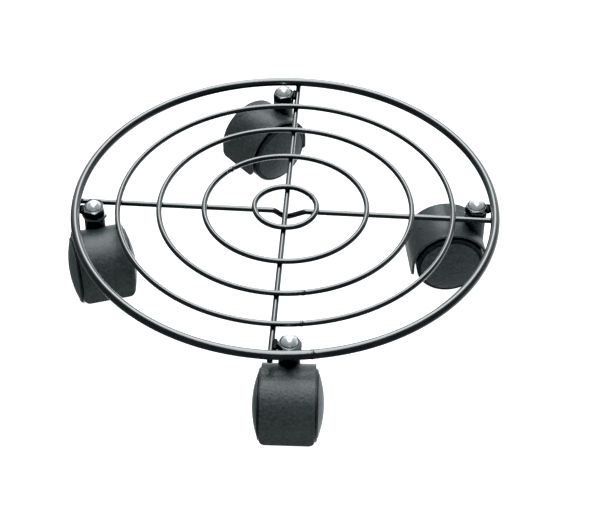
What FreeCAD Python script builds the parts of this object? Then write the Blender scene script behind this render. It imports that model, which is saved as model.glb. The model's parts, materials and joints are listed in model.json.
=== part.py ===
"""Plant pot caddy: a grid of concentric round-wire rings on four hooded twin-wheel casters.

The origin is on the floor, under the middle of the grid, with +Z up. Sizes are millimetres and
degrees, and all of them are in the spreadsheet "Sizes". The four casters stand on the X and Y axes.
A caster is drawn in its own frame: the stem runs up the Z axis, the wheels trail along +X and the
axle lies along Y.
"""
import FreeCAD, Part
import math
import os
import re

import Sketcher
from FreeCAD import Placement, Rotation, Vector

SIZES = {
    # wire grid
    "outer_radius": 149.0,
    "outer_wire": 6.5,
    "grid_wire": 4.0,
    "second_radius": 119.2,
    "third_radius": 89.8,
    "fourth_radius": 57.8,
    "fifth_radius": 22.2,
    "outer_height": 63.75,
    "weld_depth": 0.3,
    "cross_turn": -4.5,
    "cross_overhang": 1.0,
    "dip_depth": 6.0,
    "dip_near": 8.0,
    "dip_far": 14.0,
    "dip_bend": 6.0,
    # cap nuts at the four stations
    "station_radius": 136.4,
    "nut_flats": 14.0,
    "nut_height": 6.2,
    "nut_drop": 6.8,
    "nut_chamfer": 0.8,
    "dome_diameter": 11.6,
    "dome_height": 4.4,
    "dome_wall": 1.2,
    "thread_fit": 0.1,
    "bead_radius": 2.6,
    "bead_step": 3.6,
    # stem
    "stem_diameter": 8.0,
    "collar_height": 2.6,
    "collar_flats": 15.4,
    "stem_bottom": 29.0,
    "stem_chamfer": 0.7,
    "groove_bottom": 32.0,
    "groove_height": 1.8,
    "groove_depth": 0.9,
    # grip ring
    "grip_height": 1.2,
    "grip_width": 1.3,
    "grip_split": 40.0,
    # wheels
    "wheel_radius": 24.25,
    "trail": 19.4,
    "wheel_inside": 8.6,
    "wheel_outside": 19.7,
    "tread_edge": 1.0,
    "rim_wall": 2.8,
    "disc_wall": 2.4,
    "hub_radius": 5.6,
    "hub_inside": 3.3,
    "seat_depth": 0.8,
    "rib_wall": 1.4,
    "rib_count": 6,
    # wheel covers
    "cover_radius": 21.4,
    "cover_edge": 0.4,
    "cover_bulge": 23.8,
    "cover_wall": 1.6,
    # axle
    "axle_diameter": 6.0,
    "axle_length": 36.8,
    "axle_fit": 0.06,
    "snap_place": 14.6,
    "snap_width": 1.6,
    "snap_depth": 0.35,
    "snap_play": 0.3,
    # hood
    "hood_radius": 27.4,
    "hood_wall": 1.7,
    "hood_width": 36.0,
    "hood_bottom": 14.2,
    "hood_corner": 4.0,
    "hood_edge": 0.5,
    "web_wall": 5.0,
    "lobe_radius": 8.0,
    "boss_diameter": 14.6,
    "boss_bottom": 27.0,
    "swivel_gap": 0.4,
    "swivel_fit": 0.08,
    "ledge_gap": 0.5,
    # where each caster points at rest, seen from above
    "front_heading": -92.8,
    "right_heading": 184.5,
    "back_heading": 219.0,
    "left_heading": -75.0,
    # how far each cap nut and stem is turned
    "front_nut_turn": 4.0,
    "right_nut_turn": 0.0,
    "back_nut_turn": 12.0,
    "left_nut_turn": -20.0,
}

STATIONS = {"front": -89.5, "right": 0.0, "back": 90.0, "left": 180.0}
RINGS = {
    "outer_ring": ("outer_radius", "outer_wire", "outer_height"),
    "ring_2": ("second_radius", "grid_wire", "outer_height - outer_wire / 2 + grid_wire / 2"),
    "ring_3": ("third_radius", "grid_wire", "outer_height - outer_wire / 2 + grid_wire / 2"),
    "ring_4": ("fourth_radius", "grid_wire", "outer_height - outer_wire / 2 + grid_wire / 2"),
    "ring_5": ("fifth_radius", "grid_wire", "outer_height - outer_wire / 2 + grid_wire / 2"),
}
CROSS_HEIGHT = "outer_height - outer_wire / 2 - grid_wire / 2 + weld_depth"
NUT_BOTTOM = "outer_height - nut_drop"
NUT_TOP = "outer_height - nut_drop + nut_height"
BOSS_TOP = "outer_height - nut_drop - collar_height - swivel_gap"
ORIGIN_POINT, V_AXIS, H_AXIS = -1, -2, -1

doc = FreeCAD.newDocument("PlantPotCaddy")
sheet = doc.addObject("Spreadsheet::Sheet", "Sizes")
for row, (word, number) in enumerate(SIZES.items(), start=1):
    sheet.set(f"A{row}", word)
    sheet.set(f"B{row}", str(number))
    sheet.setAlias(f"B{row}", word)
doc.recompute()

subparts = []


def bound(expression):
    """The expression with each size word pointing at its cell in the sheet."""
    return re.sub(r"[a-z][a-z_]*", lambda m: f"Sizes.{m[0]}" if m[0] in SIZES else m[0], expression)


def value(expression):
    """What an expression of size words comes to now."""
    return float(sheet.evalExpression(bound(expression).replace("Sizes.", "")))


def keep(thing, label):
    """Names a sub-part and puts it on the list of what is written."""
    thing.Label = label
    subparts.append(thing)
    return thing


# ---------------------------------------------------------------- sketches and features

def origin_part(body, role):
    return next(f for f in body.Origin.OriginFeatures if f.Role == role)


def new_sketch(body, name, plane, offset="0"):
    """An empty sketch on one of the body's planes, moved off it by an expression."""
    sketch = body.newObject("Sketcher::SketchObject", name)
    sketch.AttachmentSupport = [(origin_part(body, plane), "")]
    sketch.MapMode = "FlatFace"
    if offset != "0":
        sketch.setExpression("AttachmentOffset.Base.z", bound(offset))
    return sketch


def pin_point(sketch, shape, end, across, up):
    """Ties a point of a sketch to the expressions of its two coordinates."""
    for expression, kind, axis in ((across, "DistanceX", V_AXIS), (up, "DistanceY", H_AXIS)):
        distance = value(expression)
        if abs(distance) < 1e-9:
            sketch.addConstraint(Sketcher.Constraint("PointOnObject", shape, end, axis))
        else:
            index = sketch.addConstraint(
                Sketcher.Constraint(kind, ORIGIN_POINT, 1, shape, end, distance))
            sketch.setExpression(f"Constraints[{index}]", bound(expression))


def pin_height(sketch, arc, up):
    """Sets the height of a half circle's centre; its ends already set its radius."""
    index = sketch.addConstraint(
        Sketcher.Constraint("DistanceY", ORIGIN_POINT, 1, arc, 3, value(up)))
    sketch.setExpression(f"Constraints[{index}]", bound(up))


def draw_outline(sketch, corners, arcs=None):
    """A closed outline through corners, each a pair of expressions.

    arcs maps the number of an edge to its arc's (centre across, centre up, radius, turns left).
    """
    arcs = arcs or {}
    points = [Vector(value(a), value(u), 0) for a, u in corners]
    for i, start in enumerate(points):
        end = points[(i + 1) % len(points)]
        if i not in arcs:
            sketch.addGeometry(Part.LineSegment(start, end))
            continue
        centre = Vector(value(arcs[i][0]), value(arcs[i][1]), 0)
        first, last = (start, end) if arcs[i][3] else (end, start)
        spoke_first, spoke_last = first - centre, last - centre
        circle = Part.Circle(centre, Vector(0, 0, 1), spoke_first.Length)
        sketch.addGeometry(Part.ArcOfCircle(
            circle,
            math.atan2(spoke_first.y, spoke_first.x),
            math.atan2(spoke_last.y, spoke_last.x),
        ))
    begin = [1 if i not in arcs or arcs[i][3] else 2 for i in range(len(points))]
    for i in range(len(points)):
        following = (i + 1) % len(points)
        sketch.addConstraint(
            Sketcher.Constraint("Coincident", i, 3 - begin[i], following, begin[following]))
    for i, (across, up) in enumerate(corners):
        pin_point(sketch, i, begin[i], across, up)
    for i, (_, centre_up, radius, _) in arcs.items():
        chord = (points[(i + 1) % len(points)] - points[i]).Length
        if abs(chord - 2 * value(radius)) < 1e-6:
            pin_height(sketch, i, centre_up)
        else:
            index = sketch.addConstraint(Sketcher.Constraint("Radius", i, value(radius)))
            sketch.setExpression(f"Constraints[{index}]", bound(radius))
    return sketch


def draw_circle(sketch, radius, across="0", up="0"):
    centre = Vector(value(across), value(up), 0)
    shape = sketch.addGeometry(Part.Circle(centre, Vector(0, 0, 1), value(radius)))
    index = sketch.addConstraint(Sketcher.Constraint("Radius", shape, value(radius)))
    sketch.setExpression(f"Constraints[{index}]", bound(radius))
    pin_point(sketch, shape, 3, across, up)
    return sketch


def draw_hexagon(sketch, flats):
    """A hexagon round the sketch's origin, with a corner on its first axis."""
    corner = f"({flats}) / sqrt(3)"
    corners = [(f"{corner} * {math.cos(a):.6f}", f"{corner} * {math.sin(a):.6f}")
               for a in (math.radians(60 * i) for i in range(6))]
    corners = [tuple("0" if abs(value(e)) < 1e-4 else e for e in pair) for pair in corners]
    return draw_outline(sketch, corners)


def pad(body, name, sketch, length, both_ways=False):
    feature = body.newObject("PartDesign::Pad", name)
    feature.Profile = sketch
    feature.setExpression("Length", bound(length))
    if both_ways:
        feature.SideType = "Symmetric"
    return feature


def pocket(body, name, sketch, length, both_ways=False):
    feature = body.newObject("PartDesign::Pocket", name)
    feature.Profile = sketch
    feature.setExpression("Length", bound(length))
    if both_ways:
        feature.SideType = "Symmetric"
    return feature


def turn(body, name, sketch, kind="Revolution", angle=None):
    """A Revolution or Groove of a sketch round its own upright axis."""
    feature = body.newObject(f"PartDesign::{kind}", name)
    feature.Profile = sketch
    feature.ReferenceAxis = (sketch, ["V_Axis"])
    if angle:
        feature.setExpression("Angle", bound(angle))
    return feature


def new_body(label):
    body = doc.addObject("PartDesign::Body", label)
    return keep(body, label)


# ---------------------------------------------------------------- places

def station_place(station):
    """The point on the floor under a station."""
    angle = math.radians(STATIONS[station])
    radius = value("station_radius")
    return Vector(radius * math.cos(angle), radius * math.sin(angle), 0)


def up_axis(degrees):
    return Rotation(Vector(0, 0, 1), degrees)


def caster_placement(station):
    return Placement(station_place(station), up_axis(value(f"{station}_heading")))


def axle_placement(station, side):
    """Carries a piece drawn round its Z axis onto the axle, facing one of its two sides."""
    onto_axle = Rotation(Vector(1, 0, 0), -90 * side)
    return caster_placement(station) * Placement(
        Vector(value("trail"), 0, value("wheel_radius")), onto_axle)


# ---------------------------------------------------------------- wire grid

def make_ring(label, radius, wire, height):
    ring = keep(doc.addObject("Part::Torus", label), label)
    ring.setExpression("Radius1", bound(radius))
    ring.setExpression("Radius2", bound(f"{wire} / 2"))
    ring.setExpression("Placement.Base.z", bound(height))


def make_straight_cross_wire():
    wire = keep(doc.addObject("Part::Cylinder", "cross_wire_straight"), "cross_wire_straight")
    wire.setExpression("Radius", bound("grid_wire / 2"))
    wire.setExpression("Height", bound("2 * outer_radius + 2 * cross_overhang"))
    lay_down = Rotation(Vector(1, 0, 0), -90)
    half = value("outer_radius + cross_overhang")
    wire.Placement = Placement(Vector(0, 0, value(CROSS_HEIGHT)), up_axis(value("cross_turn"))) \
        * Placement(Vector(0, -half, 0), lay_down)


def rounded_path(points, radius):
    """Straight edges through points, with a tangent arc of the same radius at each bend."""
    edges = []
    here = points[0]
    for before, corner, after in zip(points, points[1:], points[2:]):
        inward = (before - corner).normalize()
        outward = (after - corner).normalize()
        half_angle = inward.getAngle(outward) / 2
        reach = radius / math.tan(half_angle)
        middle = (inward + outward).normalize()
        centre = corner + middle * (radius / math.sin(half_angle))
        arc = Part.Arc(corner + inward * reach, centre - middle * radius, corner + outward * reach)
        edges.append(Part.LineSegment(here, corner + inward * reach).toShape())
        edges.append(arc.toShape())
        here = corner + outward * reach
    edges.append(Part.LineSegment(here, points[-1]).toShape())
    return Part.Wire(edges)


def make_bent_cross_wire():
    """The wire across the grid, which dips in a V to pass under the straight one."""
    half = value("outer_radius + cross_overhang")
    points = [Vector(-half, 0, 0), Vector(-value("dip_near"), 0, 0),
              Vector(0, 0, -value("dip_depth")), Vector(value("dip_far"), 0, 0), Vector(half, 0, 0)]
    path = rounded_path(points, value("dip_bend"))
    section = Part.Wire(Part.Circle(points[0], Vector(1, 0, 0), value("grid_wire / 2")).toShape())
    wire = keep(doc.addObject("Part::Feature", "cross_wire_bent"), "cross_wire_bent")
    wire.Shape = path.makePipeShell([section], True, True)
    wire.Placement = Placement(Vector(0, 0, value(CROSS_HEIGHT)), up_axis(value("cross_turn")))


# ---------------------------------------------------------------- nuts, welds and stems

def make_cap_nut(station):
    """A low cap nut: a hexagon with a turned chamfer, a dome, and a blind bore from below."""
    body = new_body(f"{station}_cap_nut")
    outline = draw_hexagon(new_sketch(body, "NutOutline", "XY_Plane", NUT_BOTTOM), "nut_flats")
    pad(body, "NutPad", outline, "nut_height")
    chamfer = draw_outline(new_sketch(body, "NutChamfer", "XZ_Plane"), [
        ("nut_flats / 2 * 0.97", NUT_TOP),
        ("nut_flats * 0.62", f"{NUT_TOP} - nut_chamfer * 1.6"),
        ("nut_flats * 0.62", f"{NUT_TOP} + nut_chamfer"),
        ("nut_flats / 2 * 0.97", f"{NUT_TOP} + nut_chamfer"),
    ])
    turn(body, "NutChamferCut", chamfer, "Groove")
    dome_ball = "(dome_diameter * dome_diameter / 4 + dome_height * dome_height) / (2 * dome_height)"
    dome = draw_outline(
        new_sketch(body, "NutDome", "XZ_Plane"),
        [("0", f"{NUT_TOP} - 0.4"), ("dome_diameter / 2", f"{NUT_TOP} - 0.4"),
         ("dome_diameter / 2", NUT_TOP), ("0", f"{NUT_TOP} + dome_height")],
        {2: ("0", f"{NUT_TOP} + dome_height - {dome_ball}", dome_ball, True)},
    )
    turn(body, "NutDomeTurn", dome)
    bore = draw_circle(new_sketch(body, "NutBore", "XY_Plane", NUT_BOTTOM),
                       "stem_diameter / 2 + thread_fit")
    feature = pocket(body, "NutPocket", bore, "nut_height + dome_height - 2 * dome_wall")
    feature.Reversed = True
    body.Placement = Placement(station_place(station), up_axis(value(f"{station}_nut_turn")))


def bead_row(radius, step):
    """Three rounded bulges in a row along X, as one turned solid."""
    waist = math.sqrt(radius ** 2 - step ** 2 / 4)
    slope = radius * math.sqrt(0.5)
    stops = [Vector(-step - radius, 0, 0), Vector(-step / 2, waist, 0),
             Vector(step / 2, waist, 0), Vector(step + radius, 0, 0)]
    crests = [Vector(-step - slope, slope, 0), Vector(0, radius, 0), Vector(step + slope, slope, 0)]
    edges = [Part.Arc(*three).toShape() for three in zip(stops, crests, stops[1:])]
    edges.append(Part.LineSegment(stops[-1], stops[0]).toShape())
    return Part.Face(Part.Wire(edges)).revolve(Vector(0, 0, 0), Vector(1, 0, 0), 360)


def make_welds(station):
    """Two beads: where a cap nut meets the outer ring, and where it meets its cross wire."""
    nut_reach = value("nut_flats / 2")
    gap_to_ring = value("outer_radius - outer_wire / 2 - station_radius")
    ring_bead = bead_row(value("bead_radius"), value("bead_step"))
    ring_bead.Placement = Placement(
        Vector(gap_to_ring - 0.4, 0, value(f"{NUT_BOTTOM} + nut_height / 2 + 1")), up_axis(90))
    wire_turn = value("cross_turn") + (round(STATIONS[station] / 90) * 90 - STATIONS[station])
    run = value("station_radius") + 0.1 * nut_reach
    wire_side = run * math.sin(math.radians(wire_turn)) + value("grid_wire / 2") + 0.4
    wire_bead = bead_row(value("bead_radius * 0.85"), value("bead_step"))
    wire_bead.Placement = Placement(
        Vector(0.1 * nut_reach, wire_side, value(f"{CROSS_HEIGHT} + grid_wire / 4")),
        up_axis(wire_turn))
    welds = keep(doc.addObject("Part::Feature", f"{station}_welds"), f"{station}_welds")
    welds.Shape = Part.makeCompound([ring_bead, wire_bead])
    welds.Placement = Placement(station_place(station), up_axis(STATIONS[station]))


def make_stem(station):
    """Thread above, hexagonal collar, and a plain grooved shank that the caster turns on."""
    body = new_body(f"{station}_stem")
    radius, collar_bottom = "stem_diameter / 2", f"{NUT_BOTTOM} - collar_height"
    top = f"{NUT_TOP} + 1.2"
    waist = f"{radius} - groove_depth"
    profile = draw_outline(new_sketch(body, "StemProfile", "XZ_Plane"), [
        ("0", "stem_bottom"),
        (f"{radius} - stem_chamfer", "stem_bottom"),
        (radius, "stem_bottom + stem_chamfer"),
        (radius, "groove_bottom"),
        (waist, "groove_bottom"),
        (waist, "groove_bottom + groove_height"),
        (radius, "groove_bottom + groove_height"),
        (radius, f"{top} - stem_chamfer"),
        (f"{radius} - stem_chamfer", top),
        ("0", top),
    ])
    turn(body, "StemTurn", profile)
    collar = draw_hexagon(new_sketch(body, "Collar", "XY_Plane", collar_bottom), "collar_flats")
    pad(body, "CollarPad", collar, "collar_height")
    body.Placement = Placement(station_place(station), up_axis(value(f"{station}_nut_turn") + 17))


def make_grip_ring(station):
    """The split ring in the stem's groove, which stops the caster from dropping off."""
    body = new_body(f"{station}_grip_ring")
    inside = "stem_diameter / 2 - groove_depth + 0.1"
    bottom = "groove_bottom + (groove_height - grip_height) / 2"
    profile = draw_outline(new_sketch(body, "GripProfile", "XZ_Plane"), [
        (inside, bottom),
        (f"{inside} + grip_width", bottom),
        (f"{inside} + grip_width", f"{bottom} + grip_height"),
        (inside, f"{bottom} + grip_height"),
    ])
    turn(body, "GripTurn", profile, angle="360 - grip_split")
    body.Placement = Placement(station_place(station), up_axis(STATIONS[station]))


# ---------------------------------------------------------------- casters

def make_hood(station):
    """Hood, central web and swivel boss, moulded in one piece."""
    body = new_body(f"{station}_hood")
    centre = ("trail", "wheel_radius")
    outside, inside = "hood_radius", "(hood_radius - hood_wall)"
    shell = draw_outline(
        new_sketch(body, "HoodProfile", "XZ_Plane"),
        [(f"trail + {outside}", "hood_bottom"), (f"trail + {outside}", "wheel_radius"),
         (f"trail - {outside}", "wheel_radius"), (f"trail - {outside}", "hood_bottom"),
         (f"trail - {inside}", "hood_bottom"), (f"trail - {inside}", "wheel_radius"),
         (f"trail + {inside}", "wheel_radius"), (f"trail + {inside}", "hood_bottom")],
        {1: (*centre, outside, True), 5: (*centre, inside, False)},
    )
    shell_pad = pad(body, "HoodPad", shell, "hood_width", both_ways=True)
    doc.recompute()
    corners = [f"Edge{i}" for i, edge in enumerate(shell_pad.Shape.Edges, start=1)
               if abs(edge.BoundBox.ZMax - value("hood_bottom")) < 0.01
               and edge.BoundBox.YLength < 0.01]
    rounding = body.newObject("PartDesign::Fillet", "HoodCorners")
    rounding.Base = (shell_pad, corners)
    rounding.setExpression("Radius", bound("hood_corner"))
    doc.recompute()
    crown = [f"Edge{i}" for i, edge in enumerate(rounding.Shape.Edges, start=1)
             if abs(edge.BoundBox.ZMax - value("wheel_radius + hood_radius")) < 0.01
             and edge.BoundBox.YLength < 0.01]
    softening = body.newObject("PartDesign::Fillet", "HoodEdges")
    softening.Base = (rounding, crown)
    softening.setExpression("Radius", bound("hood_edge"))

    rim = "(hood_radius - hood_wall / 2)"
    web = draw_outline(
        new_sketch(body, "WebProfile", "XZ_Plane"),
        [(f"trail + {rim}", "wheel_radius"), (f"trail - {rim}", "wheel_radius"),
         ("trail - lobe_radius", "wheel_radius - lobe_radius"),
         ("trail + lobe_radius", "wheel_radius - lobe_radius")],
        {0: (*centre, rim, True)},
    )
    pad(body, "WebPad", web, "web_wall", both_ways=True)

    boss_radius = "boss_diameter / 2"
    boss = draw_outline(new_sketch(body, "BossProfile", "XZ_Plane"), [
        ("0", "boss_bottom"), (boss_radius, "boss_bottom"), (boss_radius, f"{BOSS_TOP} - 0.8"),
        (f"{boss_radius} - 0.8", BOSS_TOP), ("0", BOSS_TOP),
    ])
    turn(body, "BossTurn", boss)

    lobe = draw_circle(new_sketch(body, "LobeCircle", "XZ_Plane"), "hub_radius", *centre)
    pad(body, "LobePad", lobe, "2 * hub_inside - 0.6", both_ways=True)

    bore = "(stem_diameter / 2 + swivel_fit)"
    ledge = "(stem_diameter / 2 - groove_depth + grip_width + ledge_gap)"
    ring_bottom = "groove_bottom - ledge_gap"
    ring_top = "groove_bottom + groove_height + ledge_gap"
    socket = draw_outline(new_sketch(body, "SocketProfile", "XZ_Plane"), [
        ("0", "stem_bottom - ledge_gap"), (bore, "stem_bottom - ledge_gap"), (bore, ring_bottom),
        (ledge, ring_bottom), (ledge, ring_top), (bore, ring_top),
        (bore, f"{BOSS_TOP} + 1"), ("0", f"{BOSS_TOP} + 1"),
    ])
    turn(body, "SocketCut", socket, "Groove")

    hole = draw_circle(new_sketch(body, "AxleHole", "XZ_Plane"), "axle_diameter / 2", *centre)
    pocket(body, "AxleCut", hole, "hood_width", both_ways=True)
    body.Placement = caster_placement(station)


def make_axle(station):
    """A pin with a snap groove near each end."""
    body = new_body(f"{station}_axle")
    radius, half = "axle_diameter / 2", "axle_length / 2"
    waist = f"{radius} - snap_depth"
    near, far = "snap_place - snap_width / 2", "snap_place + snap_width / 2"
    upper = [(radius, near), (waist, near), (waist, far), (radius, far),
             (radius, f"{half} - 0.6"), (f"{radius} - 0.6", half), ("0", half)]
    lower = [(across, f"0 - ({up})") for across, up in reversed(upper)]
    profile = draw_outline(new_sketch(body, "AxleProfile", "XZ_Plane"), lower + upper)
    turn(body, "AxleTurn", profile)
    body.Placement = axle_placement(station, 1)


def make_wheel(station, letter, side):
    """Tread, disc, hub and ribs; the disc is recessed on the outside to seat the cover."""
    body = new_body(f"{station}_wheel_{letter}")
    bore = "(axle_diameter / 2 + axle_fit)"
    lip = f"{bore} - snap_depth"
    seat = "wheel_outside - seat_depth"
    disc_inside = f"{seat} - disc_wall"
    rim_inside = "wheel_radius - rim_wall"
    profile = draw_outline(new_sketch(body, "WheelProfile", "XZ_Plane"), [
        (bore, "hub_inside"), ("hub_radius", "hub_inside"), ("hub_radius", disc_inside),
        (rim_inside, disc_inside), (rim_inside, "wheel_inside"),
        ("wheel_radius - tread_edge", "wheel_inside"),
        ("wheel_radius", "wheel_inside + tread_edge"),
        ("wheel_radius", "wheel_outside - tread_edge"),
        ("wheel_radius - tread_edge", "wheel_outside"),
        ("cover_radius + 0.2", "wheel_outside"), ("cover_radius + 0.2", seat),
        (bore, seat),
        (bore, "snap_place + snap_width / 2 - snap_play"),
        (lip, "snap_place + snap_width / 2 - snap_play"),
        (lip, "snap_place - snap_width / 2 + snap_play"),
        (bore, "snap_place - snap_width / 2 + snap_play"),
    ])
    turn(body, "WheelTurn", profile)
    rib = draw_outline(new_sketch(body, "RibOutline", "XY_Plane", "wheel_inside + 2"), [
        ("hub_radius - 0.4", "0 - rib_wall / 2"), (f"{rim_inside} + 0.4", "0 - rib_wall / 2"),
        (f"{rim_inside} + 0.4", "rib_wall / 2"), ("hub_radius - 0.4", "rib_wall / 2"),
    ])
    rib_pad = pad(body, "RibPad", rib, f"{disc_inside} - wheel_inside - 2 + 0.2")
    ribs = body.newObject("PartDesign::PolarPattern", "Ribs")
    ribs.Originals = [rib_pad]
    ribs.Axis = (origin_part(body, "Z_Axis"), [""])
    ribs.setExpression("Occurrences", bound("rib_count"))
    body.Tip = ribs
    body.Placement = axle_placement(station, side)


def make_cover(station, letter, side):
    """The domed disc that snaps into the outside of a wheel."""
    body = new_body(f"{station}_cover_{letter}")
    seat = "wheel_outside - seat_depth"
    foot = "wheel_outside + cover_edge"
    bulge = "(cover_bulge - wheel_outside - cover_edge)"
    ball = f"((cover_radius * cover_radius + {bulge} * {bulge}) / (2 * {bulge}))"
    inner_radius = "(cover_radius - cover_wall)"
    inner_ball = f"(({inner_radius} * {inner_radius} + {bulge} * {bulge}) / (2 * {bulge}))"
    profile = draw_outline(
        new_sketch(body, "CoverProfile", "XZ_Plane"),
        [("cover_radius", seat), ("cover_radius", foot), ("0", "cover_bulge"),
         ("0", "cover_bulge - cover_wall"), (inner_radius, f"{foot} - cover_wall + 0.6"),
         (inner_radius, seat)],
        {1: ("0", f"cover_bulge - {ball}", ball, True)},
    )
    turn(body, "CoverTurn", profile)
    body.Placement = axle_placement(station, side)


# ---------------------------------------------------------------- the whole caddy

for ring_label, (radius, wire, height) in RINGS.items():
    make_ring(ring_label, radius, wire, height)
make_straight_cross_wire()
make_bent_cross_wire()
for station in STATIONS:
    make_cap_nut(station)
    make_welds(station)
    make_stem(station)
    make_grip_ring(station)
    make_hood(station)
    make_axle(station)
    for letter, side in (("a", 1), ("b", -1)):
        make_wheel(station, letter, side)
        make_cover(station, letter, side)
doc.recompute()

for thing in doc.Objects:
    faults = [state for state in thing.State if state in ("Invalid", "Error")]
    if faults:
        raise RuntimeError(f"{thing.Label} is {faults}")
for thing in subparts:
    if thing.Shape.isNull() or not thing.Shape.isValid() or not thing.Shape.Solids:
        raise RuntimeError(f"{thing.Label} has no valid solid")

os.makedirs("parts", exist_ok=True)
for thing in subparts:
    thing.Shape.exportStep(os.path.join("parts", f"{thing.Label}.step"))
    box = thing.Shape.BoundBox
    print(f"{thing.Label}: {thing.Shape.Volume:.0f} mm3, {len(thing.Shape.Solids)} solid(s), "
          f"z {box.ZMin:.1f} to {box.ZMax:.1f}")
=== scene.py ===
"""Looks of the plant pot caddy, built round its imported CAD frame. Metres, +Z up."""

import json
import math

import bmesh
import bpy
from mathutils import Matrix, Vector, noise


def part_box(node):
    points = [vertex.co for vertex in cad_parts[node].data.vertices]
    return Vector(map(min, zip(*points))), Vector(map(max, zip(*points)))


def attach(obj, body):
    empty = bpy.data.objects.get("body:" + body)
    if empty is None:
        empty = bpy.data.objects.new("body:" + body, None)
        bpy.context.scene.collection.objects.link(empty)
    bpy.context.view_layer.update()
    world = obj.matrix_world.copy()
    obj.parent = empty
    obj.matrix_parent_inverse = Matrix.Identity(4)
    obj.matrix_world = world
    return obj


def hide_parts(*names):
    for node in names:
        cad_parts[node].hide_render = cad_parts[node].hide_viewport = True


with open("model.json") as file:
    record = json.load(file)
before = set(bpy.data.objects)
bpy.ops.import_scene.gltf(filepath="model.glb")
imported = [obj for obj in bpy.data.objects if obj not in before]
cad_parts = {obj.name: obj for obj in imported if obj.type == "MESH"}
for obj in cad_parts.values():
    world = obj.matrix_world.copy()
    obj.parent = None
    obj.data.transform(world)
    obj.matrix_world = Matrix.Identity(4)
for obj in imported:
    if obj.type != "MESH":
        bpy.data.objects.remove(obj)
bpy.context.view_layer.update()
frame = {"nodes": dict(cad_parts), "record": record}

MM = 0.001
UP = Vector((0, 0, 1))

# ---------------------------------------------------------------- sizes, in millimetres and degrees

RING_RADIUS = {"outer_ring": 149.0, "ring_2": 119.2, "ring_3": 89.8, "ring_4": 57.8, "ring_5": 22.2}
OUTER_WIRE, GRID_WIRE = 3.25, 2.0                   # radius of the wire
RING_OVAL, RING_WAVE, RING_LIFT = 0.12, 0.06, 0.05  # how far a hoop strays from a true circle
RING_STEPS, RING_STEPS_PER_MM, RING_SIDES = 120, 3.2, 28
CROSS_TURN = -4.5                                   # of both cross wires, from the X and Y axes

# butt weld of a hoop: a flash ridge, with a shallow dip on each side of it
SEAM_ANGLE = {"outer_ring": -84.0, "ring_2": -85.5, "ring_3": -83.0, "ring_4": 132.5, "ring_5": 30.0}
FLASH_HEIGHT, FLASH_REACH = 0.2, 0.8
DIP_DEPTH, DIP_REACH, DIP_PLACE = 0.07, 1.0, 2.2
SEAM_STEPS, SEAM_STEP = 14, 0.35

# resistance weld where a hoop crosses a cross wire
CROSSING_WIDTH, CROSSING_HEIGHT, CROSSING_SINK = 1.9, 0.62, 0.15
CROSSING_RIPPLE, CROSSING_NOISE = 0.12, 2.3

STATION_RADIUS = 136.4
STATION_ANGLE = {"front": -89.5, "right": 0.0, "back": 90.0, "left": 180.0}
NUT_TURN = {"front": 4.0, "right": 0.0, "back": 12.0, "left": -20.0}

# domed nut
NUT_FLATS, NUT_HEIGHT = 14.0, 6.2
DOME_RADIUS, DOME_HEIGHT, DOME_STEPS = 5.8, 4.4, 14
GROOVE_DEPTH, GROOVE_WIDTH, GROOVE_UNDERCUT = 1.3, 0.56, 0.08
CROWN_RADIUS, CHAMFER_ANGLE = 6.55, 32.0
SIDE_TOP, SIDE_FOOT = 2.2, 0.9                      # where the flats end, from the rim and from the base
BORE_RADIUS, BORE_DEPTH = 4.1, 5.0
NUT_STEPS = 96
CREASE_ANGLE = 38.0

# weld runs: start and end along the run, its radius, and its place beside the nut or the cross wire
RING_RUN, RING_RUN_RADIUS, RING_RUN_OUT, RING_RUN_RISE = (-4.6, 4.0), 1.8, 8.2, 3.4
WIRE_RUN, WIRE_RUN_RADIUS, WIRE_RUN_SIDE, WIRE_RUN_RISE = (-5.0, 5.5), 1.75, 0.5, 1.6
BEAD_STEPS, BEAD_SIDES = 40, 20
BEAD_SQUARENESS, BEAD_TIP = 5, 0.02
PUDDLE_LENGTH, PUDDLE_SWELL = 1.5, 0.10
BEAD_RAGGED, BEAD_NOISE = 0.22, 0.9

# hood: its outer radius about the axle, the parting ridge on it, and the gate's nub (reach, rise)
HOOD_RADIUS = 27.4
RIDGE_START, RIDGE_SPAN, RIDGE_STEPS = 14.0, 44.0, 48
RIDGE_RADIUS, RIDGE_SINK, RIDGE_TIP, RIDGE_TAPER = 0.13, 0.08, 0.2, 6
GATE_ANGLE, GATE_SLIP, GATE_STEPS = 44.0, 2.2, 20
GATE_PROFILE = ((1.0, -0.3), (1.0, 0.12), (0.86, 0.24), (0.45, 0.2), (0.3, 0.42), (0.12, 0.46))


def middle_height(node):
    """Height of the middle of a CAD node, in mm."""
    low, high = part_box(node)
    return (low.z + high.z) / 2 / MM


ring_height = {ring: middle_height(ring) for ring in RING_RADIUS}
cross_height = middle_height("cross_wire_straight")
nut_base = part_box("front_cap_nut")[0].z / MM
nut_rim = nut_base + NUT_HEIGHT

# ---------------------------------------------------------------- node materials

BLACK_PAINT, DUSTY_PAINT, WORN_PAINT = (0.005, 0.0055, 0.0065), (0.012, 0.013, 0.0145), (0.06, 0.062, 0.065)
BURNT_PAINT, WELD_PAINT = (0.002, 0.002, 0.0025), (0.007, 0.007, 0.0075)
OVERSPRAY = (0.006, 0.006, 0.007)
# the dome's plating colour is a painted highlight, far brighter than the rim's
DULL_PLATING, CLEAN_PLATING, DOME_HIGHLIGHT_PLATING = (0.15, 0.16, 0.165), (0.22, 0.235, 0.24), (0.86, 0.89, 0.9)
PLATING_METALLIC = 0.7
NUT_BRIGHT_DEPTH, STEM_BRIGHT_DEPTH = 0.65, 1.1
MOTTLE_GAIN, SCUFF_GAIN = 1.9, 3.0
FLOOR_SHADE, FLOOR_TINT, FLOOR_GLOW = (0.33, 0.33, 0.33), (0.36, 0.36, 0.36), 1.15


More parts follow.
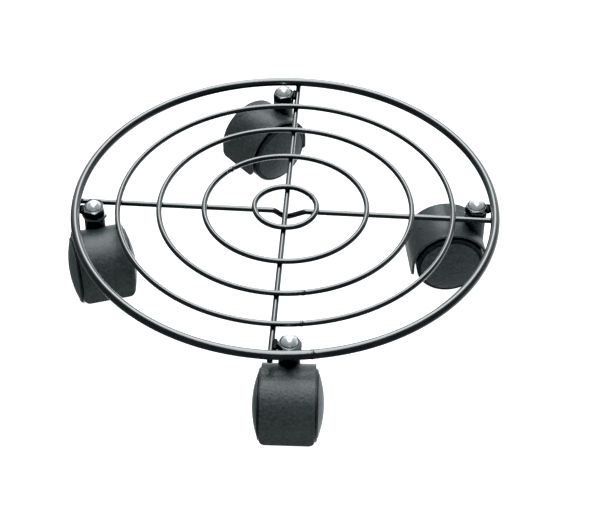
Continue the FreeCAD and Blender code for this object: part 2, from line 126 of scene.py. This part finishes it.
class Paint:
    """A node material under construction: one principled shader with helpers to feed it."""

    def __init__(self, name):
        self.material = bpy.data.materials.new(name)
        self.material.use_nodes = True
        self.tree = self.material.node_tree
        self.shader = self.tree.nodes["Principled BSDF"]
        self.coords = self.node("ShaderNodeTexCoord").outputs["Object"]

    def node(self, kind, **inputs):
        made = self.tree.nodes.new(kind)
        for key, content in inputs.items():
            self.put(made.inputs[key.replace("_", " ")], content)
        return made

    def put(self, socket, content):
        """Links a socket to another, or sets it to a constant."""
        if isinstance(content, bpy.types.NodeSocket):
            self.tree.links.new(content, socket)
        else:
            socket.default_value = content

    def set(self, **inputs):
        """Feeds the shader."""
        for key, content in inputs.items():
            self.put(self.shader.inputs[key.replace("_", " ")], content)

    def noise(self, scale, detail, rough=0.5, stretch=None):
        """Noise with a number of features per metre, denser along an axis where stretch is over 1."""
        source = self.coords
        if stretch:
            source = self.node("ShaderNodeMapping", Vector=source, Scale=stretch).outputs["Vector"]
        made = self.node("ShaderNodeTexNoise", Vector=source, Scale=scale, Detail=detail, Roughness=rough)
        return made.outputs["Fac"]

    def spread(self, fac, low, high, start=0.0, end=1.0):
        """Maps a value from start..end to low..high."""
        made = self.node("ShaderNodeMapRange", Value=fac)
        for key, content in (("From Min", start), ("From Max", end), ("To Min", low), ("To Max", high)):
            made.inputs[key].default_value = content
        return made.outputs["Result"]

    def mix(self, fac, first, second):
        """A blend of two colours, each a socket or three numbers."""
        made = self.tree.nodes.new("ShaderNodeMix")
        made.data_type = "RGBA"
        self.put(made.inputs["Factor"], fac)
        for socket, content in ((made.inputs["A"], first), (made.inputs["B"], second)):
            self.put(socket, content if isinstance(content, bpy.types.NodeSocket) else (*content, 1.0))
        return made.outputs["Result"]

    def math(self, operation, first, second):
        made = self.tree.nodes.new("ShaderNodeMath")
        made.operation = operation
        self.put(made.inputs[0], first)
        self.put(made.inputs[1], second)
        return made.outputs[0]

    def height(self):
        """The height over the floor at rest, in metres."""
        return self.node("ShaderNodeSeparateXYZ", Vector=self.coords).outputs["Z"]

    def bump(self, *fields):
        """Stacks height fields, each (field, its height in mm), into the shader's normal."""
        normal = None
        for field, distance in fields:
            made = self.node("ShaderNodeBump", Height=field, Distance=distance * MM, Strength=1.0)
            if normal:
                self.tree.links.new(normal, made.inputs["Normal"])
            normal = made.outputs["Normal"]
        self.set(Normal=normal)


def wire_paint():
    """Gloss black paint over wire: orange peel, faint dust and a few thin spots."""
    paint = Paint("frame_paint")
    dust = paint.spread(paint.noise(60.0, 4.0), 0.0, 1.0, 0.45, 0.75)
    specks = paint.spread(paint.noise(1500.0, 1.0), 0.0, 0.5, 0.72, 0.78)
    paint.set(Base_Color=paint.mix(specks, paint.mix(dust, BLACK_PAINT, DUSTY_PAINT), WORN_PAINT))
    paint.set(Roughness=paint.spread(paint.noise(220.0, 3.0), 0.15, 0.24))
    paint.set(IOR=1.55, Coat_Weight=1.0, Coat_Roughness=0.08)
    paint.bump((paint.noise(700.0, 2.0), 0.05), (paint.noise(120.0, 1.0), 0.15))
    return paint.material


def weld_paint():
    """The same black over rough weld metal."""
    paint = Paint("weld_paint")
    paint.set(Base_Color=paint.mix(paint.noise(400.0, 3.0), BURNT_PAINT, WELD_PAINT))
    paint.set(Roughness=paint.spread(paint.noise(500.0, 2.0), 0.5, 0.75))
    paint.set(IOR=1.42, Specular_IOR_Level=0.22)
    paint.bump((paint.noise(900.0, 3.0), 0.12), (paint.noise(350.0, 1.0), 0.2))
    return paint.material


def plated(name, rim_top, bright_depth):
    """Bright plating down to a depth in mm below the rim's top, with a painted highlight on the dome, and
    the frame's black overspray below.
    """
    paint = Paint(name)
    height = paint.height()
    edge = paint.math("ADD", height, paint.math("MULTIPLY", paint.noise(500.0, 2.0), 0.5 * MM))
    border = rim_top - bright_depth
    bright = paint.spread(edge, 0.0, 1.0, (border - 0.2) * MM, (border + 0.2) * MM)
    # painted highlight: above the rim, the dome gets much brighter plating than the rim
    domed = paint.spread(height, 0.0, 1.0, (rim_top + 0.05) * MM, (rim_top + 0.3) * MM)
    rim = paint.mix(paint.noise(300.0, 3.0), DULL_PLATING, CLEAN_PLATING)
    paint.set(Base_Color=paint.mix(bright, OVERSPRAY, paint.mix(domed, rim, DOME_HIGHLIGHT_PLATING)))
    paint.set(Metallic=paint.math("MULTIPLY", bright, PLATING_METALLIC))
    worn = paint.spread(paint.noise(800.0, 3.0), 0.2, 0.3)
    painted = paint.math("MULTIPLY", paint.math("SUBTRACT", 1.0, bright), 0.25)
    paint.set(Roughness=paint.math("ADD", worn, painted))
    paint.bump((paint.noise(1600.0, 2.0), 0.012), (paint.noise(260.0, 1.0), 0.04))
    return paint.material


def steel(name, dark, light, rough, stretch):
    """Turned or drawn steel with fine lines and oily patches."""
    paint = Paint(name)
    lines = paint.noise(400.0, 3.0, stretch=stretch)
    patches = paint.spread(paint.noise(150.0, 3.0), 0.0, 1.0, 0.4, 0.7)
    paint.set(Base_Color=paint.mix(patches, dark, light), Metallic=1.0)
    paint.set(Roughness=paint.spread(lines, *rough))
    paint.bump((lines, 0.02))
    return paint.material


def moulded(name, dark, light, rough, grain, scuffs):
    """Moulded plastic: spark-eroded grain (scale, depth in mm), colour drift, mottling and light scuffs."""
    paint = Paint(name)
    scale, depth = grain
    drift = paint.spread(paint.noise(35.0, 3.0), 0.0, 1.0, 0.3, 0.7)
    mottle = paint.spread(paint.noise(520.0, 4.0, 0.65), 0.0, 0.7, 0.38, 0.64)
    pale, scuffed = (tuple(gain * part for part in light) for gain in (MOTTLE_GAIN, SCUFF_GAIN))
    colour = paint.mix(mottle, paint.mix(drift, dark, light), pale)
    marks = paint.spread(paint.noise(240.0, 5.0, 0.7, stretch=(1.0, 1.0, 3.0)), 0.0, scuffs, 0.6, 0.72)
    paint.set(Base_Color=paint.mix(marks, colour, scuffed))
    flow = paint.spread(paint.noise(90.0, 3.0, stretch=(1.0, 1.0, 0.35)), *rough)
    paint.set(Roughness=paint.math("ADD", flow, paint.math("MULTIPLY", marks, 0.15)), IOR=1.46)
    paint.bump((paint.noise(scale, 2.0), depth), (paint.noise(0.45 * scale, 3.0), 2.2 * depth),
               (paint.noise(110.0, 1.0), 0.1))
    return paint.material


def floor_paint():
    """Pale floor that glows, so that it looks white all over."""
    paint = Paint("floor_white")
    paint.set(Base_Color=paint.mix(paint.noise(3.0, 2.0), FLOOR_SHADE, FLOOR_TINT), Roughness=0.85)
    paint.set(Emission_Color=(1, 1, 1, 1), Emission_Strength=FLOOR_GLOW)
    return paint.material


materials = {
    "frame_paint": wire_paint(),
    "weld_paint": weld_paint(),
    "nut_plate": plated("nut_plate", nut_rim, NUT_BRIGHT_DEPTH),
    "stem_steel": plated("stem_steel", nut_base, STEM_BRIGHT_DEPTH),
    "spring_steel": steel("spring_steel", dark=(0.12, 0.11, 0.1), light=(0.2, 0.19, 0.18),
                          rough=(0.3, 0.5), stretch=(1, 1, 4)),
    "axle_steel": steel("axle_steel", dark=(0.35, 0.35, 0.35), light=(0.5, 0.5, 0.5),
                        rough=(0.2, 0.4), stretch=(4, 4, 1)),
    "hood_plastic": moulded("hood_plastic", dark=(0.021, 0.026, 0.026), light=(0.031, 0.037, 0.037),
                            rough=(0.36, 0.46), grain=(1400.0, 0.13), scuffs=0.30),
    "wheel_plastic": moulded("wheel_plastic", dark=(0.005, 0.006, 0.006), light=(0.010, 0.0115, 0.0115),
                             rough=(0.34, 0.5), grain=(1500.0, 0.06), scuffs=0.25),
    "cover_plastic": moulded("cover_plastic", dark=(0.023, 0.029, 0.031), light=(0.034, 0.042, 0.044),
                             rough=(0.34, 0.46), grain=(1100.0, 0.14), scuffs=0.08),
}


# ---------------------------------------------------------------- mesh helpers

def polar(reach, turn, level=0.0):
    """The point at a reach and an angle round the Z axis, and at a level."""
    return Vector((reach * math.cos(turn), reach * math.sin(turn), level))


def full_turn(steps):
    """Evenly spaced angles all the way round."""
    return [math.tau * step / steps for step in range(steps)]


def add_object(name, mesh_data, material):
    """A new object with the mesh of mesh_data, which is freed."""
    mesh = bpy.data.meshes.new(name)
    mesh_data.to_mesh(mesh)
    mesh_data.free()
    mesh.materials.append(material)
    made = bpy.data.objects.new(name, mesh)
    bpy.context.scene.collection.objects.link(made)
    return made


def add_piece(name, mesh_data, body, slot, *replaced):
    """A smooth closed piece that rides on a body, with a slot's material, and may stand for CAD nodes."""
    bmesh.ops.recalc_face_normals(mesh_data, faces=mesh_data.faces)
    piece = add_object(name, mesh_data, materials[slot])
    piece.data.polygons.foreach_set("use_smooth", [True] * len(piece.data.polygons))
    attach(piece, body)
    if replaced:
        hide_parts(*replaced)


def skin_loops(mesh_data, loops, closed=False):
    """Faces between neighbouring loops of vertices, and from the last to the first where closed."""
    following = loops[1:] + loops[:1] if closed else loops[1:]
    for first, second in zip(loops, following):
        for j in range(len(first)):
            k = (j + 1) % len(first)
            mesh_data.faces.new((first[j], first[k], second[k], second[j]))


def close_ends(mesh_data, loops):
    """A face over the first loop and one over the last."""
    for loop in (loops[0], loops[-1]):
        mesh_data.faces.new(loop)


def tube_loops(mesh_data, path, radii, sides, closed=False):
    """Loops of vertices round a path of points, with a radius at each."""
    behind = (path[-1:] if closed else path[:1]) + path[:-1]
    ahead = path[1:] + (path[:1] if closed else path[-1:])
    loops = []
    for back, point, front, radius in zip(behind, path, ahead, radii):
        along = (front - back).normalized()
        across = along.cross(UP).normalized()
        rise = across.cross(along)
        loops.append([mesh_data.verts.new(point + (across * math.cos(a) + rise * math.sin(a)) * radius)
                      for a in full_turn(sides)])
    return loops


# ---------------------------------------------------------------- hoops and their welds

def bell(distance, reach):
    """1 at no distance, and close to 0 past twice the reach."""
    return math.exp(-(distance / reach) ** 2)


def seam_swell(distance):
    """Extra radius, in mm, at a distance in mm from a butt weld: a flash ridge between two dips."""
    flash = FLASH_HEIGHT * bell(distance, FLASH_REACH)
    return flash - DIP_DEPTH * bell(abs(distance) - DIP_PLACE, DIP_REACH)


def wire_ring(name, radius, wire):
    """A hoop of drawn wire, very slightly out of round, with its butt weld."""
    seam = math.radians(SEAM_ANGLE[name])
    turns = full_turn(int(radius * RING_STEPS_PER_MM) + RING_STEPS)
    turns += [(seam + i * SEAM_STEP / radius) % math.tau for i in range(-SEAM_STEPS, SEAM_STEPS + 1)]
    path, radii = [], []
    for turn in sorted({round(turn, 6) for turn in turns}):
        stray = RING_OVAL * math.sin(2 * turn + radius) + RING_WAVE * math.sin(5 * turn + 2 * radius)
        level = ring_height[name] + RING_LIFT * math.sin(3 * turn + radius)
        path.append(polar(radius + stray, turn, level) * MM)
        gap = (turn - seam + math.pi) % math.tau - math.pi
        radii.append((wire + seam_swell(gap * radius)) * MM)
    mesh_data = bmesh.new()
    skin_loops(mesh_data, tube_loops(mesh_data, path, radii, RING_SIDES, closed=True), closed=True)
    add_piece(name + "_wire", mesh_data, "frame", "frame_paint", name)


def crossing_welds():
    """The squeezed metal where hoops and cross wires were resistance welded."""
    mesh_data = bmesh.new()
    flattening = Matrix.Diagonal((CROSSING_WIDTH, CROSSING_WIDTH, CROSSING_HEIGHT))
    level = cross_height + GRID_WIRE - CROSSING_SINK
    for radius in RING_RADIUS.values():
        for quarter in range(4):
            heading = math.radians(90 * quarter + CROSS_TURN)
            spot = polar(radius, heading)
            made = bmesh.ops.create_icosphere(mesh_data, subdivisions=3, radius=1.0)
            for vert in made["verts"]:
                ripple = 1 + CROSSING_RIPPLE * noise.noise(vert.co * CROSSING_NOISE + spot)
                vert.co = flattening @ vert.co * ripple
            place = Matrix.Translation(spot + UP * level) @ Matrix.Rotation(heading, 4, "Z")
            bmesh.ops.transform(mesh_data, matrix=place, verts=made["verts"])
    bmesh.ops.scale(mesh_data, vec=(MM, MM, MM), verts=mesh_data.verts)
    add_piece("crossing_welds", mesh_data, "frame", "weld_paint")


# ---------------------------------------------------------------- nuts and their welds

def station_spot(station):
    """Where a station's nut, stem and swivel stand, at floor level, in mm."""
    return polar(STATION_RADIUS, math.radians(STATION_ANGLE[station]))


def hexagon_reach(turn):
    """Distance from the centre to the side of the nut's hexagon in a direction, in mm."""
    from_corner = (turn + math.pi / 6) % (math.pi / 3) - math.pi / 6
    return NUT_FLATS / 2 / math.cos(math.pi / 6 - abs(from_corner))


def nut_section(side):
    """The nut's outline where its side is that far out, from the dome to the bore: (reach, level) in mm."""
    ball = (DOME_RADIUS ** 2 + DOME_HEIGHT ** 2) / (2 * DOME_HEIGHT)
    foot = math.asin(DOME_RADIUS / ball)
    slopes = [foot * (step + 1) / DOME_STEPS for step in range(DOME_STEPS)]
    section = [(ball * math.sin(slope), nut_rim + DOME_HEIGHT - ball + ball * math.cos(slope))
               for slope in slopes]
    groove = DOME_RADIUS - GROOVE_UNDERCUT
    section += [(groove, nut_rim - GROOVE_DEPTH), (groove + GROOVE_WIDTH, nut_rim - GROOVE_DEPTH),
                (groove + GROOVE_WIDTH + 0.06, nut_rim - 0.1), (groove + GROOVE_WIDTH + 0.12, nut_rim),
                (CROWN_RADIUS, nut_rim - 0.02)]
    width = side - CROWN_RADIUS
    fall = math.tan(math.radians(CHAMFER_ANGLE))
    section += [(CROWN_RADIUS + width * share, nut_rim - width * share * fall - 0.03)
                for share in (0.35, 0.8, 0.97)]
    section += [(side, nut_rim - width * fall - 0.12),
                (side, nut_rim - SIDE_TOP), (side, nut_base + SIDE_FOOT),
                (side - 0.05, nut_base + width * fall + 0.12), (CROWN_RADIUS, nut_base + 0.03),
                (BORE_RADIUS + 0.2, nut_base), (BORE_RADIUS + 0.05, nut_base + 0.2),
                (BORE_RADIUS, nut_base + BORE_DEPTH)]
    return section


def mark_creases(mesh_data):
    """Keeps an edge sharp where its two faces meet at more than the crease angle."""
    mesh_data.normal_update()
    for edge in mesh_data.edges:
        edge.smooth = edge.calc_face_angle() < math.radians(CREASE_ANGLE)


def cap_nut(station):
    """Domed nut: dome, a groove at its foot, a chamfered rim that scallops over the flats."""
    mesh_data = bmesh.new()
    turns = full_turn(NUT_STEPS)
    levels = zip(*(nut_section(hexagon_reach(turn)) for turn in turns))
    rows = [[mesh_data.verts.new(polar(reach, turn, level) * MM)
             for turn, (reach, level) in zip(turns, row)] for row in levels]
    top = mesh_data.verts.new(UP * (nut_rim + DOME_HEIGHT) * MM)
    bore_end = mesh_data.verts.new(UP * (nut_base + BORE_DEPTH) * MM)
    for j in range(NUT_STEPS):
        k = (j + 1) % NUT_STEPS
        mesh_data.faces.new((top, rows[0][j], rows[0][k]))
        for upper, lower in zip(rows, rows[1:]):
            mesh_data.faces.new((upper[j], lower[j], lower[k], upper[k]))
        mesh_data.faces.new((rows[-1][j], bore_end, rows[-1][k]))
    turned = Matrix.Rotation(math.radians(NUT_TURN[station]), 4, "Z")
    place = Matrix.Translation(station_spot(station) * MM) @ turned
    bmesh.ops.transform(mesh_data, matrix=place, verts=mesh_data.verts)
    mark_creases(mesh_data)
    add_piece(station + "_domed_nut", mesh_data, "frame", "nut_plate", station + "_cap_nut")


def weld_bead(mesh_data, middle, along, run, radius, seed):
    """A ragged run of overlapping puddles, with rounded ends, past a middle point: sizes in mm."""
    start, end = (middle + along * distance for distance in run)
    length = (end - start).length
    path, radii = [], []
    for step in range(BEAD_STEPS + 1):
        share = step / BEAD_STEPS
        rounding = math.sqrt(1 - abs(2 * share - 1) ** BEAD_SQUARENESS)
        puddle = 1 + PUDDLE_SWELL * abs(math.sin(share * length / PUDDLE_LENGTH * math.pi))
        path.append(start.lerp(end, share) * MM)
        radii.append(max(radius * rounding * puddle, BEAD_TIP) * MM)
    loops = tube_loops(mesh_data, path, radii, BEAD_SIDES)
    for loop in loops:
        for vert in loop:
            centre = sum((other.co for other in loop), Vector()) / BEAD_SIDES
            ragged = noise.noise(vert.co / MM * BEAD_NOISE + Vector((seed, 0, 0)))
            vert.co += (vert.co - centre) * BEAD_RAGGED * ragged
    skin_loops(mesh_data, loops)
    close_ends(mesh_data, loops)


def welds(station, number):
    """The two weld runs that hold a nut, to the outer ring and to the cross wire."""
    mesh_data = bmesh.new()
    outward = polar(1, math.radians(STATION_ANGLE[station]))
    at_ring = outward * (STATION_RADIUS + RING_RUN_OUT) + UP * (nut_base + RING_RUN_RISE)
    weld_bead(mesh_data, at_ring, UP.cross(outward), RING_RUN, RING_RUN_RADIUS, seed=3 * number)
    wire_way = polar(1, math.radians(round(STATION_ANGLE[station] / 90) * 90 + CROSS_TURN))
    beside_wire = UP.cross(wire_way) * (GRID_WIRE + WIRE_RUN_SIDE)
    on_wire = wire_way * STATION_RADIUS + beside_wire + UP * (cross_height + WIRE_RUN_RISE)
    weld_bead(mesh_data, on_wire, wire_way, WIRE_RUN, WIRE_RUN_RADIUS, seed=3 * number + 1)
    add_piece(station + "_weld_runs", mesh_data, "frame", "weld_paint", station + "_welds")


# ---------------------------------------------------------------- moulding marks on the hoods

def raised(level_way, angle):
    """The direction at an angle in degrees above a level one."""
    rise = math.radians(angle)
    return level_way * math.cos(rise) + UP * math.sin(rise)


def parting_ridge(mesh_data, hub, away):
    """The faint ridge over the middle of a hood, thinning out at both ends."""
    path, radii = [], []
    for step in range(RIDGE_STEPS + 1):
        way = raised(away, RIDGE_START + RIDGE_SPAN * step / RIDGE_STEPS)
        path.append(hub + way * (HOOD_RADIUS - RIDGE_SINK) * MM)
        taper = min(1.0, RIDGE_TIP + min(step, RIDGE_STEPS - step) / RIDGE_TAPER)
        radii.append(RIDGE_RADIUS * taper * MM)
    loops = tube_loops(mesh_data, path, radii, sides=8)
    skin_loops(mesh_data, loops)
    close_ends(mesh_data, loops)


def gate_nub(mesh_data, hub, away):
    """The round nub where the plastic was let into the mould, a little to one side of the ridge."""
    spin = raised(away, GATE_ANGLE).to_track_quat("Z", "Y").to_matrix().to_4x4()
    place = Matrix.Translation(hub - UP.cross(away) * GATE_SLIP * MM) @ spin
    loops = [[mesh_data.verts.new(place @ (polar(reach, turn, HOOD_RADIUS + height) * MM))
              for turn in full_turn(GATE_STEPS)] for reach, height in GATE_PROFILE]
    skin_loops(mesh_data, loops)
    close_ends(mesh_data, loops)


def mould_marks(station):
    """What the mould left on a hood, on the side away from the stem."""
    low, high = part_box(station + "_axle")
    hub = (low + high) / 2
    away = hub - station_spot(station) * MM
    away.z = 0
    away.normalize()
    mesh_data = bmesh.new()
    parting_ridge(mesh_data, hub, away)
    gate_nub(mesh_data, hub, away)
    add_piece(station + "_mould_marks", mesh_data, station + "_caster", "hood_plastic")


# ---------------------------------------------------------------- the pieces

for ring, ring_radius in RING_RADIUS.items():
    wire_ring(ring, ring_radius, OUTER_WIRE if ring == "outer_ring" else GRID_WIRE)
crossing_welds()
for station_number, station_name in enumerate(STATION_ANGLE):
    cap_nut(station_name)
    welds(station_name, station_number)
for station_name in STATION_ANGLE:
    mould_marks(station_name)

for entry in frame["record"]["subparts"]:
    node_materials = frame["nodes"][entry["node"]].data.materials
    node_materials.clear()
    node_materials.append(materials[entry["material_slot"]])

# ---------------------------------------------------------------- stage, light and camera

# soft glows in the studio: direction, the cosines where a glow starts and where it is full, strength
GLOWS = {
    "overhead": ((0.0, 0.34, 0.94), 0.62, 0.86, 5.9),
    "background": ((0.0, 0.94, 0.34), 0.25, 0.62, 0.85),
    "right_side": ((0.84, 0.42, -0.33), 0.80, 0.98, 0.9),
    "far_floor": ((0.0, 0.62, -0.785), 0.66, 0.95, 1.8),
    "fill": ((0.0, 0.0, 1.0), -1.0, -0.99, 0.15),
}
NARROWING = (2.8, 1.0, 1.0)                         # squeezes the glows from left to right
LIGHT_COLOUR = (0.93, 0.98, 1.0, 1)
BLACK_LEVEL = (0.009, 0.008, 0.008)

# camera: swing round the caddy and rise over it in degrees, distance in metres, then how it is aimed
CAMERA_SWING, CAMERA_RISE, CAMERA_DISTANCE = -0.8, 40.26, 1.1628
CAMERA_PAN, CAMERA_TILT, CAMERA_ROLL = -0.52, -1.89, 0.35
CAMERA_LENS, CAMERA_SENSOR, CAMERA_REACH = 97.98, 36.0, 50.0
FLOOR_HALF_WIDTH = 6.0


def make_floor():
    """A wide white floor that polished pieces don't mirror."""
    mesh_data = bmesh.new()
    bmesh.ops.create_grid(mesh_data, x_segments=8, y_segments=8, size=FLOOR_HALF_WIDTH)
    floor = add_object("floor", mesh_data, floor_paint())
    floor.visible_glossy = False


def make_world():
    """A room of soft glows round a dark camera side."""
    world = bpy.data.worlds.new("studio")
    world.use_nodes = True
    tree = world.node_tree
    squeeze = tree.nodes.new("ShaderNodeVectorMath")
    squeeze.operation = "MULTIPLY"
    tree.links.new(tree.nodes.new("ShaderNodeTexCoord").outputs["Generated"], squeeze.inputs[0])
    squeeze.inputs[1].default_value = NARROWING
    unit = tree.nodes.new("ShaderNodeVectorMath")
    unit.operation = "NORMALIZE"
    tree.links.new(squeeze.outputs["Vector"], unit.inputs[0])
    total = None
    for name, (towards, start, end, strength) in GLOWS.items():
        lean = tree.nodes.new("ShaderNodeVectorMath")
        lean.operation = "DOT_PRODUCT"
        tree.links.new(unit.outputs["Vector"], lean.inputs[0])
        lean.inputs[1].default_value = Vector(towards).normalized()
        glow = tree.nodes.new("ShaderNodeMapRange")
        glow.name = name
        glow.interpolation_type = "SMOOTHSTEP"
        tree.links.new(lean.outputs["Value"], glow.inputs["Value"])
        for key, content in (("From Min", start), ("From Max", end), ("To Min", 0.0), ("To Max", strength)):
            glow.inputs[key].default_value = content
        if total:
            adding = tree.nodes.new("ShaderNodeMath")
            tree.links.new(total, adding.inputs[0])
            tree.links.new(glow.outputs["Result"], adding.inputs[1])
            total = adding.outputs["Value"]
        else:
            total = glow.outputs["Result"]
    background = tree.nodes["Background"]
    background.inputs["Color"].default_value = LIGHT_COLOUR
    tree.links.new(total, background.inputs["Strength"])
    bpy.context.scene.world = world


def make_camera():
    """The view from above and in front, through a long lens."""
    def turned(degrees, axis):
        return Matrix.Rotation(math.radians(degrees), 4, axis)

    aim = Matrix.Translation(UP * ring_height["outer_ring"] * MM)
    rise = math.radians(CAMERA_RISE)
    away = Matrix.Translation((0, -CAMERA_DISTANCE * math.cos(rise), CAMERA_DISTANCE * math.sin(rise)))
    look = turned(90 - CAMERA_RISE, "X") @ turned(CAMERA_PAN, "Y") @ turned(CAMERA_TILT, "X")
    data = bpy.data.cameras.new("camera")
    data.lens, data.sensor_width = CAMERA_LENS, CAMERA_SENSOR
    data.clip_end = CAMERA_REACH
    camera = bpy.data.objects.new("camera", data)
    bpy.context.scene.collection.objects.link(camera)
    camera.matrix_world = aim @ turned(CAMERA_SWING, "Z") @ away @ look @ turned(CAMERA_ROLL, "Z")
    bpy.context.scene.camera = camera


def set_view():
    """Plain colours, with the darkest tones pulled down to black."""
    view = bpy.context.scene.view_settings
    view.view_transform = "Standard"
    view.exposure = 0.0
    view.use_curve_mapping = True
    view.curve_mapping.black_level = BLACK_LEVEL
    view.curve_mapping.update()


make_floor()
make_world()
make_camera()
set_view()
